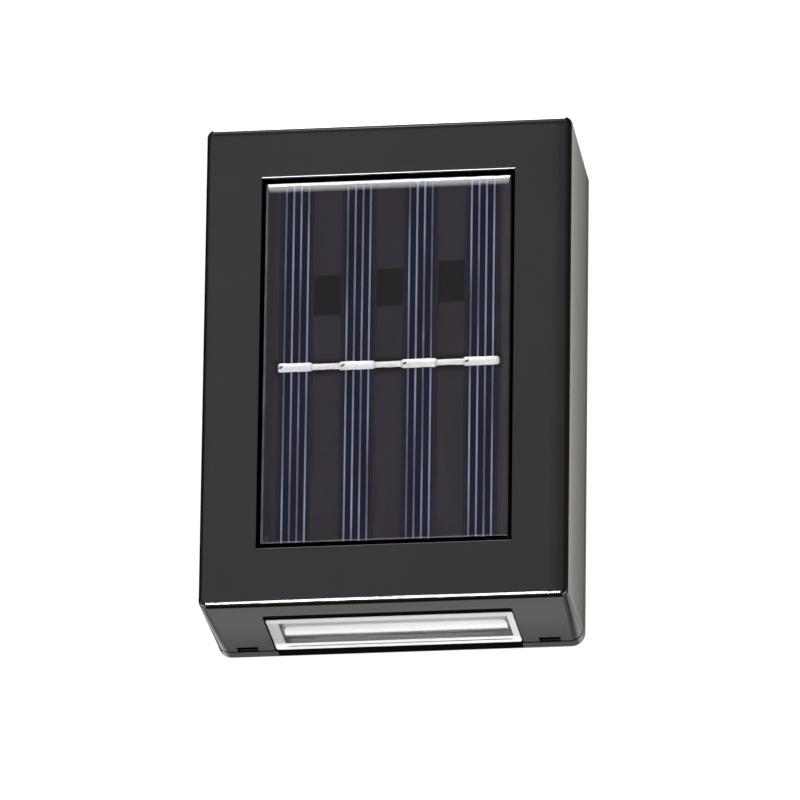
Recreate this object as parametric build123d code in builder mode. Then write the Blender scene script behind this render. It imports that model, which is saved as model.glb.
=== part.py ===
from build123d import *
import os

# Solar fence light: a black box shell with a cast solar panel in its front,
# a clear lens in the bottom and in the top, and a screwed back cover that
# hangs on a fence or wall.
# Millimetres. +X right, +Z up, the front looks towards -Y.
# Origin: centre of the back face, the face that lies on the wall.

os.makedirs("parts", exist_ok=True)

# ---------------------------------------------------------------- dimensions
WIDTH = 72.0            # X
HEIGHT = 100.0          # Z
DEPTH = 29.5            # Y, wall face to front face
SEAM = 4.4              # visible edge of the back cover
WALL = 2.0              # side walls of both shells
FRONT_WALL = 2.2        # front wall away from the panel
R_FRONT = 1.6           # corner radius at the front
R_BACK = 2.7            # corner radius at the seam and on the cover
EDGE_FRONT = 1.15       # rounding of the front edge
EDGE_BACK = 1.25        # rounding of the back edge
SEAM_GAP = 0.55         # shadow gap at the seam, cut into the cover
SEAM_GAP_DEPTH = 0.45

PANEL_W = 48.2          # solar panel
PANEL_H = 75.6
PANEL_Z = 0.4           # height of the panel's middle
PANEL_GAP = 0.8         # gap all round it
RECESS_DEPTH = 3.3
LIP_TOP = 0.4           # rounding on the recess's upper lip
LIP = 0.1               # and on its other three lips
TUB_WALL = 1.8          # walls of the tub behind the recess
TUB_FLOOR = 1.6

SUBSTRATE_T = 1.0
TAPE_T = 0.3
CELL_W = 6.9
CELL_H = 74.6
CELL_T = 0.3
CELL_X = (-17.9, -5.75, 6.4, 18.55)
LINE_W = 0.34           # printed silver lines on a cell
LINE_T = 0.08
LINE_X = (-2.22, -0.74, 0.74, 2.22)
RIBBON_T = 0.15
RIBBON_Z = -0.5
PAD_H = 1.9
LINK_H = 1.25
RESIN_FRONT = -29.1     # highest point of the resin
RESIN_EDGE = 0.7

LENS_HALF = 24.1        # half width of the lens where it shows
LENS_FRONT = -20.95     # its front edge
LENS_REAR = -4.5
GAP_HALF = 24.35        # opening in the shell around it
GAP_FRONT = -23.4
FLANGE_HALF = 25.9      # retaining flange inside the wall
FLANGE_FRONT = -24.9
FLANGE_T = 1.4
WINDOW_X = (-21.75, 22.75)  # sunk window in the lens
WINDOW_Y = (-19.1, -8.1)
WINDOW_DEPTH = 1.0
BULGE_X = (-21.4, 22.4)  # long cylindrical rib in the window
BULGE_Y = (-15.5, -10.1)
BULGE_H = 0.85
SEAL_SUNK = 0.12        # how far the seal lies below the shell's face
STRIP_HALF = 24.0       # rear bar of the seal, let into the cover
STRIP_Y = (-4.4, -1.3)
STRIP_DEPTH = 0.7

NOTCH_X = (27.5, 31.7)  # pry notches in the shell's rear edge
NOTCH_Y = -6.6

SCREW_X = 28.5          # cover screws
SCREW_Z = 42.5
BOSS_R = 3.2
PILOT_R = 1.35
SCREW_R = 1.3
SCREW_HOLE_R = 1.45
HEAD_R = 2.3
HEAD_H = 1.7
COUNTERBORE_R = 2.5
COUNTERBORE = 2.4

TONGUE_GAP = 0.15
TONGUE_T = 1.2
TONGUE_REACH = 2.0

KEY_X = 20.0            # keyholes
KEY_Z = 29.0
KEY_R = 4.2             # entry hole
KEY_SLOT = 2.2          # half width of the slot
KEY_RISE = 6.5          # entry centre to slot end centre
POCKET_DEPTH = 4.0

BUTTON_Z = 12.0
BUTTON_R = 4.0
BUTTON_HOLE_R = 4.2
BUTTON_FACE = -0.3
BUTTON_TRAVEL = 1.5
DISH_R = 7.0
DISH_DEPTH = 0.7

BATTERY_R = 7.1
BATTERY_Y = -16.1
BATTERY_Z = -22.0
BATTERY_X = (-23.6, 25.9)

BOARD_Y = (-15.6, -14.0)
BOARD_HALF = 22.0
BOARD_Z = (-3.0, 23.0)
POSTS = ((-19.0, 0.0), (19.0, 0.0), (-19.0, 20.0), (19.0, 20.0))
WIRE_R = 0.6

# ---------------------------------------------------------------- helpers
tub_half_w = PANEL_W / 2 + PANEL_GAP
tub_half_h = PANEL_H / 2 + PANEL_GAP
recess_floor = -DEPTH + RECESS_DEPTH          # front side of the recess floor
tub_back = recess_floor + TUB_FLOOR           # its inner side
inner_front = -DEPTH + FRONT_WALL
substrate_back = recess_floor - TAPE_T
substrate_front = substrate_back - SUBSTRATE_T
cell_front = substrate_front - CELL_T
line_front = cell_front - LINE_T
ribbon_front = line_front - RIBBON_T


def upright(y):
    """Sketch plane parallel to the wall at depth y: X right, Z up."""
    return Plane.XZ.offset(-y)


def block(x, y, z, mode=Mode.ADD):
    """Box between two corners, given as ranges."""
    with Locations(((x[0] + x[1]) / 2, (y[0] + y[1]) / 2, (z[0] + z[1]) / 2)):
        Box(abs(x[1] - x[0]), abs(y[1] - y[0]), abs(z[1] - z[0]), mode=mode)


def rod(x, z, radius, y0, y1, mode=Mode.ADD):
    """Cylinder along Y from y0 (front) to y1 (back)."""
    with Locations(Location((x, (y0 + y1) / 2, z), (90, 0, 0))):
        Cylinder(radius, abs(y1 - y0), mode=mode)


def finish(part, label):
    part.part.label = label
    export_step(part.part, "parts/" + label + ".step")


# ---------------------------------------------------------------- front shell
with BuildPart() as front_housing:
    with BuildSketch(upright(-SEAM)):
        RectangleRounded(WIDTH, HEIGHT, R_BACK)
    with BuildSketch(upright(-DEPTH)):
        RectangleRounded(WIDTH, HEIGHT, R_FRONT)
    loft(ruled=True)
    fillet(front_housing.faces().sort_by(Axis.Y)[0].edges(), EDGE_FRONT)
    # hollow inside
    with BuildSketch(upright(-SEAM)):
        RectangleRounded(WIDTH - 2 * WALL, HEIGHT - 2 * WALL, 1.0)
    extrude(amount=-inner_front - SEAM, mode=Mode.SUBTRACT)
    # tub behind the panel, and the recess in it
    block(
        (-tub_half_w - TUB_WALL, tub_half_w + TUB_WALL),
        (inner_front - 0.5, tub_back),
        (PANEL_Z - tub_half_h - TUB_WALL, PANEL_Z + tub_half_h + TUB_WALL),
    )
    with BuildSketch(upright(recess_floor)):
        with Locations((0, PANEL_Z)):
            Rectangle(2 * tub_half_w, 2 * tub_half_h)
    extrude(amount=RECESS_DEPTH + 1, mode=Mode.SUBTRACT)
    lip = front_housing.edges().filter_by(
        lambda e: abs(e.center().Y + DEPTH) < 0.01
        and abs(e.center().X) < tub_half_w + 0.5
        and abs(e.center().Z - PANEL_Z) < tub_half_h + 0.5
    )
    fillet(lip.sort_by(Axis.Z)[-1:], LIP_TOP)
    lip = front_housing.edges().filter_by(
        lambda e: abs(e.center().Y + DEPTH) < 0.01
        and abs(e.center().X) < tub_half_w + 0.5
        and e.center().Z < PANEL_Z + tub_half_h - 1.0
        and e.center().Z > PANEL_Z - tub_half_h - 0.5
    )
    fillet(lip, LIP)
    block((-16, -8), (recess_floor - 0.5, tub_back + 0.5), (28, 32), Mode.SUBTRACT)
    # posts for the cover screws
    for sx in (-1, 1):
        for sz in (-1, 1):
            rod(sx * SCREW_X, sz * SCREW_Z, BOSS_R, inner_front - 0.5, -5.2)
    for sx in (-1, 1):
        for sz in (-1, 1):
            rod(sx * SCREW_X, sz * SCREW_Z, PILOT_R, -20.0, -5.0, Mode.SUBTRACT)
    # posts for the control board
    for px, pz in POSTS:
        rod(px, pz, 2.5, tub_back - 0.5, BOARD_Y[0])
    for px, pz in POSTS:
        rod(px, pz, 0.95, -21.5, BOARD_Y[0] + 0.1, Mode.SUBTRACT)
    # L-shaped rails that guide each light box and its board
    for sx in (-1, 1):
        for sz in (-1, 1):
            block((sx * 24.3, sx * 25.7), (inner_front - 0.5, -7.0), (sz * 46.5, sz * 39.2))
            block((sx * 22.5, sx * 24.4), (inner_front - 0.5, -7.0), (sz * 40.2, sz * 39.2))
    # lens openings, open to the seam
    for sz in (-1, 1):
        with BuildSketch(Plane.XY.offset(sz * 47.5 if sz > 0 else -51.0)):
            with Locations((0, (GAP_FRONT + 0.0) / 2)):
                RectangleRounded(2 * GAP_HALF, -GAP_FRONT, 0.8)
        extrude(amount=3.5, mode=Mode.SUBTRACT)
    # pry notches in the rear edge, near the corners
    for sx in (-1, 1):
        for sz in (-1, 1):
            block(
                (sx * NOTCH_X[0], sx * NOTCH_X[1]),
                (NOTCH_Y, -SEAM + 0.5),
                (sz * (HEIGHT / 2 - WALL - 0.3), sz * (HEIGHT / 2 + 1)),
                Mode.SUBTRACT,
            )
finish(front_housing, "front_housing")

# ---------------------------------------------------------------- back cover
tongue_w = WIDTH - 2 * WALL - 2 * TONGUE_GAP
tongue_h = HEIGHT - 2 * WALL - 2 * TONGUE_GAP
with BuildPart() as back_cover:
    with BuildSketch(upright(0)):
        RectangleRounded(WIDTH, HEIGHT, R_BACK)
    extrude(amount=SEAM)
    fillet(back_cover.faces().sort_by(Axis.Y)[-1].edges(), EDGE_BACK)
    with BuildSketch(upright(-SEAM + SEAM_GAP)):
        RectangleRounded(WIDTH + 2, HEIGHT + 2, R_BACK + 1)
        RectangleRounded(
            WIDTH - 2 * SEAM_GAP_DEPTH,
            HEIGHT - 2 * SEAM_GAP_DEPTH,
            R_BACK - SEAM_GAP_DEPTH,
            mode=Mode.SUBTRACT,
        )
    extrude(amount=SEAM_GAP, mode=Mode.SUBTRACT)
    with BuildSketch(upright(-SEAM)):
        RectangleRounded(tongue_w, tongue_h, 0.9)
    extrude(amount=TONGUE_REACH)
    with BuildSketch(upright(-WALL)):
        RectangleRounded(tongue_w - 2 * TONGUE_T, tongue_h - 2 * TONGUE_T, 0.6)
    extrude(amount=SEAM - WALL + TONGUE_REACH + 1, mode=Mode.SUBTRACT)
    # the tongue leaves the two lenses free
    for sz in (-1, 1):
        block((-26.3, 26.3), (-SEAM - 3, -SEAM), (sz * 46.0, sz * 48.5), Mode.SUBTRACT)
    # groove for the gasket
    with BuildSketch(upright(-SEAM + 0.7)):
        RectangleRounded(WIDTH - 1.6, HEIGHT - 1.6, 2.0)
        RectangleRounded(WIDTH - 3.2, HEIGHT - 3.2, 1.3, mode=Mode.SUBTRACT)
    extrude(amount=0.7, mode=Mode.SUBTRACT)
    # screw bosses, counterbored from the back
    for sx in (-1, 1):
        for sz in (-1, 1):
            rod(sx * SCREW_X, sz * SCREW_Z, 3.4, -5.0, -WALL + 0.5)
    for sx in (-1, 1):
        for sz in (-1, 1):
            rod(sx * SCREW_X, sz * SCREW_Z, SCREW_HOLE_R, -6.0, 1.0, Mode.SUBTRACT)
            rod(sx * SCREW_X, sz * SCREW_Z, COUNTERBORE_R, -COUNTERBORE, 1.0, Mode.SUBTRACT)
    # two keyholes
    for sx in (-1, 1):
        rod(sx * KEY_X, KEY_Z, KEY_R, -WALL - 0.5, 1.0, Mode.SUBTRACT)
        block(
            (sx * KEY_X - KEY_SLOT, sx * KEY_X + KEY_SLOT),
            (-WALL - 0.5, 1.0),
            (KEY_Z, KEY_Z + KEY_RISE),
            Mode.SUBTRACT,
        )
        rod(sx * KEY_X, KEY_Z + KEY_RISE, KEY_SLOT, -WALL - 0.5, 1.0, Mode.SUBTRACT)
    # finger dish and hole of the push button
    rod(0, BUTTON_Z, DISH_R, -DISH_DEPTH, 1.0, Mode.SUBTRACT)
    rod(0, BUTTON_Z, BUTTON_HOLE_R, -WALL - 0.5, 1.0, Mode.SUBTRACT)
    # pockets for the rear bars of the two lens seals
    for sz in (-1, 1):
        block(
            (-STRIP_HALF, STRIP_HALF),
            (STRIP_Y[0] - 0.1, STRIP_Y[1]),
            (sz * (HEIGHT / 2 - STRIP_DEPTH), sz * (HEIGHT / 2 + 1)),
            Mode.SUBTRACT,
        )
    # ribs that press on the battery and on the two light boxes
    for sx in (-1, 1):
        block((sx * 19.2, sx * 20.8), (-8.9, -WALL + 0.5), (-29, -15))
        for sz in (-1, 1):
            block((sx * 8.0, sx * 9.5), (-7.4, -WALL + 0.5), (sz * 41, sz * 46))
finish(back_cover, "back_cover")

with BuildPart() as back_cover_gasket:
    with BuildSketch(upright(-SEAM + 0.7)):
        RectangleRounded(WIDTH - 1.6, HEIGHT - 1.6, 2.0)
        RectangleRounded(WIDTH - 3.2, HEIGHT - 3.2, 1.3, mode=Mode.SUBTRACT)
    extrude(amount=0.7)
finish(back_cover_gasket, "back_cover_gasket")

# closed caps behind the keyholes, so that no water gets in past the hooks
with BuildPart() as keyhole_caps:
    for sx in (-1, 1):
        x = sx * KEY_X
        block((x - 6, x + 6), (-WALL - POCKET_DEPTH - 1, -WALL), (23.4, 39.9))
        block((x - 5, x + 5), (-WALL - POCKET_DEPTH, -WALL), (24.4, 38.9), Mode.SUBTRACT)
    fillet(keyhole_caps.edges().filter_by(Axis.Y), 0.4)
finish(keyhole_caps, "keyhole_caps")

# ---------------------------------------------------------------- cover screws
with BuildPart() as cover_screws:
    for sx in (-1, 1):
        for sz in (-1, 1):
            rod(sx * SCREW_X, sz * SCREW_Z, SCREW_R, -13.0, -COUNTERBORE)
            rod(sx * SCREW_X, sz * SCREW_Z, HEAD_R, -COUNTERBORE, -COUNTERBORE + HEAD_H)
    fillet(
        cover_screws.edges()
        .filter_by(GeomType.CIRCLE)
        .filter_by(lambda e: abs(e.center().Y - (-COUNTERBORE + HEAD_H)) < 0.01),
        0.6,
    )
    for sx in (-1, 1):
        for sz in (-1, 1):
            x, z, y = sx * SCREW_X, sz * SCREW_Z, -COUNTERBORE + HEAD_H
            block((x - 1.3, x + 1.3), (y - 1.0, y + 1), (z - 0.28, z + 0.28), Mode.SUBTRACT)
            block((x - 0.28, x + 0.28), (y - 1.0, y + 1), (z - 1.3, z + 1.3), Mode.SUBTRACT)
finish(cover_screws, "cover_screws")

# ---------------------------------------------------------------- solar panel
with BuildPart() as panel_tape:
    with BuildSketch(upright(recess_floor)):
        with Locations((0, PANEL_Z)):
            Rectangle(2 * tub_half_w - 0.1, 2 * tub_half_h - 0.1)
            RectangleRounded(PANEL_W - 7.0, PANEL_H - 7.0, 0.5, mode=Mode.SUBTRACT)
    extrude(amount=TAPE_T)
finish(panel_tape, "panel_tape")

with BuildPart() as panel_substrate:
    with BuildSketch(upright(substrate_back)):
        with Locations((0, PANEL_Z)):
            RectangleRounded(PANEL_W, PANEL_H, 0.6)
    extrude(amount=SUBSTRATE_T)
finish(panel_substrate, "panel_substrate")

with BuildPart() as gap_pads:
    block((-14.4, -9.25), (substrate_front - 0.1, substrate_front), (10.4, 18.7))
    block((-2.25, 2.9), (substrate_front - 0.1, substrate_front), (11.8, 19.6))
    block((9.9, 15.05), (substrate_front - 0.1, substrate_front), (12.3, 20.8))
finish(gap_pads, "gap_pads")

with BuildPart() as solar_cells:
    with BuildSketch(upright(substrate_front)):
        with Locations([(x, PANEL_Z) for x in CELL_X]):
            Rectangle(CELL_W, CELL_H)
    extrude(amount=CELL_T)
finish(solar_cells, "solar_cells")

with BuildPart() as cell_grid_lines:
    with BuildSketch(upright(cell_front)):
        with Locations([(x + dx, PANEL_Z) for x in CELL_X for dx in LINE_X]):
            Rectangle(LINE_W, CELL_H - 0.4)
    extrude(amount=LINE_T)
finish(cell_grid_lines, "cell_grid_lines")

with BuildPart() as tabbing_ribbon:
    with BuildSketch(upright(line_front)):
        with Locations([(x - 0.05, RIBBON_Z) for x in CELL_X]):
            RectangleRounded(7.1, PAD_H, 0.45)
        with Locations((sum(CELL_X) / 4, RIBBON_Z)):
            Rectangle(CELL_X[3] - CELL_X[0], LINK_H)
    extrude(amount=RIBBON_T)
finish(tabbing_ribbon, "tabbing_ribbon")

with BuildPart() as panel_encapsulant:
    with BuildSketch(upright(substrate_front)):
        with Locations((0, PANEL_Z)):
            RectangleRounded(PANEL_W, PANEL_H, 0.8)
    extrude(amount=substrate_front - RESIN_FRONT)
    fillet(panel_encapsulant.faces().sort_by(Axis.Y)[0].edges(), RESIN_EDGE)
    add(gap_pads.part, mode=Mode.SUBTRACT)
    add(solar_cells.part, mode=Mode.SUBTRACT)
    add(cell_grid_lines.part, mode=Mode.SUBTRACT)
    add(tabbing_ribbon.part, mode=Mode.SUBTRACT)
finish(panel_encapsulant, "panel_encapsulant")

# ---------------------------------------------------------------- lenses
bottom = -HEIGHT / 2
window_floor = bottom + WINDOW_DEPTH
with BuildPart() as lens_rib:
    with BuildSketch(Plane.YZ.offset(BULGE_X[0])):
        with BuildLine():
            mid = (BULGE_Y[0] + BULGE_Y[1]) / 2
            Line((BULGE_Y[1], window_floor + 0.3), (BULGE_Y[0], window_floor + 0.3))
            Line((BULGE_Y[0], window_floor + 0.3), (BULGE_Y[0], window_floor))
            ThreePointArc(
                (BULGE_Y[0], window_floor),
                (mid, window_floor - BULGE_H),
                (BULGE_Y[1], window_floor),
            )
            Line((BULGE_Y[1], window_floor), (BULGE_Y[1], window_floor + 0.3))
        make_face()
    extrude(amount=BULGE_X[1] - BULGE_X[0])
    with BuildSketch(Plane.XY.offset(bottom - 1)):
        with Locations((sum(BULGE_X) / 2, mid)):
            RectangleRounded(BULGE_X[1] - BULGE_X[0], BULGE_Y[1] - BULGE_Y[0], 1.8)
    extrude(amount=4, mode=Mode.INTERSECT)

with BuildPart() as lower_lens:
    with BuildSketch(Plane.XY.offset(bottom)):
        with Locations((0, (LENS_FRONT + LENS_REAR) / 2)):
            RectangleRounded(2 * LENS_HALF, LENS_REAR - LENS_FRONT, 0.6)
    extrude(amount=WALL)
    with BuildSketch(Plane.XY.offset(bottom + WALL)):
        with Locations((0, (FLANGE_FRONT + LENS_REAR) / 2)):
            RectangleRounded(2 * FLANGE_HALF, LENS_REAR - FLANGE_FRONT, 0.6)
    extrude(amount=FLANGE_T)
    with BuildSketch(Plane.XY.offset(bottom - 0.5)):
        with Locations((sum(WINDOW_X) / 2, sum(WINDOW_Y) / 2)):
            RectangleRounded(WINDOW_X[1] - WINDOW_X[0], WINDOW_Y[1] - WINDOW_Y[0], 0.8)
    extrude(amount=WINDOW_DEPTH + 0.5, mode=Mode.SUBTRACT)
    add(lens_rib.part)
    # fine line along the rear rim
    block(WINDOW_X, (-6.6, -6.2), (bottom - 0.5, bottom + 0.25), Mode.SUBTRACT)
    # soften the rim that shows
    fillet(
        lower_lens.edges().filter_by(
            lambda e: abs(e.center().Z - bottom) < 0.01
            and (
                abs(abs(e.center().X) - LENS_HALF) < 0.8
                or abs(e.center().Y - LENS_FRONT) < 0.8
                or abs(e.center().Y - LENS_REAR) < 0.8
            )
            and not (abs(e.center().Y + 6.4) < 0.3)
            or (abs(e.center().Z - bottom) < 0.01 and abs(abs(e.center().X) - LENS_HALF) < 0.1)
        ),
        0.25,
    )
finish(lower_lens, "lower_lens")

with BuildPart() as upper_lens:
    mirror(lower_lens.part, about=Plane.XY)
finish(upper_lens, "upper_lens")

with BuildPart() as lower_lens_seal:
    with BuildSketch(Plane.XY.offset(bottom + SEAL_SUNK)):
        with Locations((0, GAP_FRONT / 2)):
            RectangleRounded(2 * GAP_HALF, -GAP_FRONT, 0.8)
        with Locations((0, (LENS_FRONT + 6) / 2)):
            RectangleRounded(2 * LENS_HALF, 6 - LENS_FRONT, 0.6, mode=Mode.SUBTRACT)
        with Locations((0, 0)):
            Rectangle(60, -2 * LENS_REAR, mode=Mode.SUBTRACT)
    extrude(amount=WALL - SEAL_SUNK)
    block(
        (-STRIP_HALF, STRIP_HALF),
        (LENS_REAR, STRIP_Y[1]),
        (bottom + SEAL_SUNK, bottom + STRIP_DEPTH),
    )
finish(lower_lens_seal, "lower_lens_seal")

with BuildPart() as upper_lens_seal:
    mirror(lower_lens_seal.part, about=Plane.XY)
finish(upper_lens_seal, "upper_lens_seal")

# ---------------------------------------------------------------- light boxes
BOX_Y = (-23.5, -7.5)
LED_X = 11.0
with BuildPart() as lower_reflector:
    block((-24.0, 24.0), BOX_Y, (-46.5, -41.5))
    with BuildSketch(Plane.XY.offset(-46.5)):
        with Locations((0, sum(BOX_Y) / 2)):
            RectangleRounded(46.0, 14.0, 1.5)
    extrude(amount=4.0, taper=12, mode=Mode.SUBTRACT)
    for sx in (-1, 1):
        block((sx * LED_X - 2.8, sx * LED_X + 2.8), (sum(BOX_Y) / 2 - 2.8, sum(BOX_Y) / 2 + 2.8), (-44, -41), Mode.SUBTRACT)
finish(lower_reflector, "lower_reflector")

with BuildPart() as upper_reflector:
    mirror(lower_reflector.part, about=Plane.XY)
finish(upper_reflector, "upper_reflector")

with BuildPart() as lower_led_board:
    block((-23.8, 23.8), (BOX_Y[0] + 0.2, BOX_Y[1] - 0.2), (-41.5, -40.3))
finish(lower_led_board, "lower_led_board")

with BuildPart() as upper_led_board:
    mirror(lower_led_board.part, about=Plane.XY)
finish(upper_led_board, "upper_led_board")

with BuildPart() as lower_leds:
    for sx in (-1, 1):
        block((sx * LED_X - 2.5, sx * LED_X + 2.5), (sum(BOX_Y) / 2 - 2.5, sum(BOX_Y) / 2 + 2.5), (-43.0, -41.5))
        with Locations((sx * LED_X, sum(BOX_Y) / 2, -43.0)):
            Cylinder(2.0, 0.6, mode=Mode.SUBTRACT)
finish(lower_leds, "lower_leds")

with BuildPart() as upper_leds:
    mirror(lower_leds.part, about=Plane.XY)
finish(upper_leds, "upper_leds")

# ---------------------------------------------------------------- control board
with BuildPart() as control_board:
    with BuildSketch(upright(BOARD_Y[1])):
        with Locations((0, sum(BOARD_Z) / 2)):
            RectangleRounded(2 * BOARD_HALF, BOARD_Z[1] - BOARD_Z[0], 1.0)
        with Locations(POSTS):
            Circle(1.1, mode=Mode.SUBTRACT)
    extrude(amount=BOARD_Y[1] - BOARD_Y[0])
finish(control_board, "control_board")

with BuildPart() as board_screws:
    for px, pz in POSTS:
        rod(px, pz, 0.9, -20.0, BOARD_Y[1])
        rod(px, pz, 1.9, BOARD_Y[1], BOARD_Y[1] + 1.3)
    fillet(
        board_screws.edges()
        .filter_by(GeomType.CIRCLE)
        .filter_by(lambda e: abs(e.center().Y - (BOARD_Y[1] + 1.3)) < 0.01),
        0.5,
    )
    for px, pz in POSTS:
        y = BOARD_Y[1] + 1.3
        block((px - 1.1, px + 1.1), (y - 0.7, y + 1), (pz - 0.22, pz + 0.22), Mode.SUBTRACT)
        block((px - 0.22, px + 0.22), (y - 0.7, y + 1), (pz - 1.1, pz + 1.1), Mode.SUBTRACT)
finish(board_screws, "board_screws")

with BuildPart() as controller_ic:
    block((0.0, 4.0), (BOARD_Y[0] - 1.9, BOARD_Y[0] - 0.3), (0.5, 3.7))
    for k in range(4):
        block((0.3 + k * 0.95, 0.7 + k * 0.95), (BOARD_Y[0] - 1.3, BOARD_Y[0]), (-0.6, 0.6))
finish(controller_ic, "controller_ic")

with BuildPart() as inductor:
    with Locations(Location((-5.0, BOARD_Y[0] - 2.4, 4.0), (0, 90, 0))):
        Cylinder(1.9, 7.0)
    for sx in (-1, 1):
        with Locations(Location((-5.0 + sx * 4.3, BOARD_Y[0] - 2.4, 4.0), (0, 90, 0))):
            Cylinder(0.3, 2.0)
        rod(-5.0 + sx * 5.0, 4.0, 0.3, BOARD_Y[0] - 2.65, BOARD_Y[0])
finish(inductor, "inductor")

with BuildPart() as board_passives:
    for px, pz in ((6.5, 3.0), (6.5, 6.5), (1.5, 9.0), (-3.5, 12.0)):
        block((px - 1.0, px + 1.0), (BOARD_Y[0] - 0.7, BOARD_Y[0]), (pz - 0.65, pz + 0.65))
finish(board_passives, "board_passives")

# ---------------------------------------------------------------- push switch
with BuildPart() as switch_body:
    block((-3.5, 3.5), (-14.0, -7.0), (BUTTON_Z - 3.5, BUTTON_Z + 3.5))
    fillet(switch_body.edges().filter_by(Axis.Y), 0.3)
    block((-1.7, 1.7), (-12.2, -6.0), (BUTTON_Z - 1.7, BUTTON_Z + 1.7), Mode.SUBTRACT)
finish(switch_body, "switch_body")

with BuildPart() as switch_plunger:
    block((-1.5, 1.5), (-9.2, -4.6), (BUTTON_Z - 1.5, BUTTON_Z + 1.5))
    fillet(switch_plunger.edges().filter_by(Axis.Y), 0.2)
finish(switch_plunger, "switch_plunger")

with BuildPart() as button_cap:
    rod(0, BUTTON_Z, BUTTON_R, -3.0, BUTTON_FACE)
    fillet(button_cap.faces().sort_by(Axis.Y)[-1].edges(), 0.4)
    rod(0, BUTTON_Z, 4.9, -3.2, -2.3)
    rod(0, BUTTON_Z, 2.1, -4.6, -3.0)
finish(button_cap, "button_cap")

# ---------------------------------------------------------------- battery
with BuildPart() as battery:
    with BuildSketch(Plane.YZ.offset(BATTERY_X[0])):
        with Locations((BATTERY_Y, BATTERY_Z)):
            Circle(BATTERY_R)
    extrude(amount=BATTERY_X[1] - BATTERY_X[0])
    fillet(battery.edges().filter_by(GeomType.CIRCLE), 0.5)
    with BuildSketch(Plane.YZ.offset(BATTERY_X[1])):
        with Locations((BATTERY_Y, BATTERY_Z)):
            Circle(2.75)
    extrude(amount=1.0)
finish(battery, "battery")

with BuildPart() as battery_holder:
    block((-28.8, 28.8), (-24.5, -10.5), (BATTERY_Z - 8.6, BATTERY_Z + 8.6))
    block((-27.5, 27.5), (-23.3, -9.0), (BATTERY_Z - 7.4, BATTERY_Z + 7.4), Mode.SUBTRACT)
    # cut-away in the long walls to lift the cell out
    for sz in (-1, 1):
        block((-12, 12), (-15.5, -9.0), (BATTERY_Z + sz * 7.0, BATTERY_Z + sz * 9.5), Mode.SUBTRACT)
finish(battery_holder, "battery_holder")

with BuildPart() as battery_contacts:
    block((-27.5, -27.2), (-22.0, -11.0), (BATTERY_Z - 5, BATTERY_Z + 5))
    block((27.2, 27.5), (-22.0, -11.0), (BATTERY_Z - 5, BATTERY_Z + 5))
    with Locations(Location((27.05, BATTERY_Y, BATTERY_Z), (0, 90, 0))):
        Cylinder(1.8, 0.3)
finish(battery_contacts, "battery_contacts")

with BuildPart() as battery_spring:
    with BuildLine():
        coil = Helix(
            pitch=1.15,
            height=2.7,
            radius=3.4,
            center=(-26.7, BATTERY_Y, BATTERY_Z),
            direction=(1, 0, 0),
        )
    with BuildSketch(Plane(origin=coil @ 0, z_dir=coil % 0)):
        Circle(0.38)
    sweep(path=coil, is_frenet=True)
finish(battery_spring, "battery_spring")


# ---------------------------------------------------------------- wires
def lead(points, radii):
    """One insulated wire along straight runs joined by arcs."""
    with BuildLine() as route:
        run = FilletPolyline(*points, radius=radii)
    with BuildSketch(Plane(origin=run @ 0, z_dir=run % 0)) as section:
        Circle(WIRE_R)
    sweep(section.sketch, path=route.line)


with BuildPart() as solar_leads:
    for x in (-13.2, -10.8):
        lead(
            [(x, substrate_back, 30), (x, -19.5, 30), (x, -19.5, 18), (x, BOARD_Y[0], 18)],
            [3.0, 1.8],
        )
finish(solar_leads, "solar_leads")

with BuildPart() as battery_leads:
    for sx in (-1, 1):
        lead(
            [
                (sx * 24, -12.0, BATTERY_Z + 8.6),
                (sx * 24, -12.0, -6),
                (sx * 13, -11.2, 2),
                (sx * 13, BOARD_Y[1], 2),
            ],
            [3.0, 1.8],
        )
finish(battery_leads, "battery_leads")

with BuildPart() as lower_led_leads:
    lead(
        [
            (-18, -14, -40.3), (-18, -14, -36), (-31.3, -14, -34), (-31.3, -16, -8),
            (-24, -19, 8), (-17, -19, 9), (-17, BOARD_Y[0], 9),
        ],
        [1.8, 1.8, 6.0, 4.0, 1.5],
    )
    lead(
        [
            (-15, -14, -40.3), (-15, -14, -33.4), (-31.3, -12, -31.4), (-31.3, -13.8, -8),
            (-24, -17.2, 10.6), (-14.5, -19, 11.5), (-14.5, BOARD_Y[0], 11.5),
        ],
        [1.8, 1.8, 6.0, 4.0, 1.5],
    )
finish(lower_led_leads, "lower_led_leads")

with BuildPart() as upper_led_leads:
    for dx in (0, -3):
        lead(
            [
                (16 + dx, -14, 40.3), (16 + dx, -14, 35), (16 + dx, -19, 28),
                (12 + dx, -19, 14), (12 + dx, BOARD_Y[0], 14),
            ],
            [3.0, 4.0, 1.5],
        )
finish(upper_led_leads, "upper_led_leads")
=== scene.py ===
import math

import bmesh
import bpy
import numpy as np
from mathutils import Matrix, Vector


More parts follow.
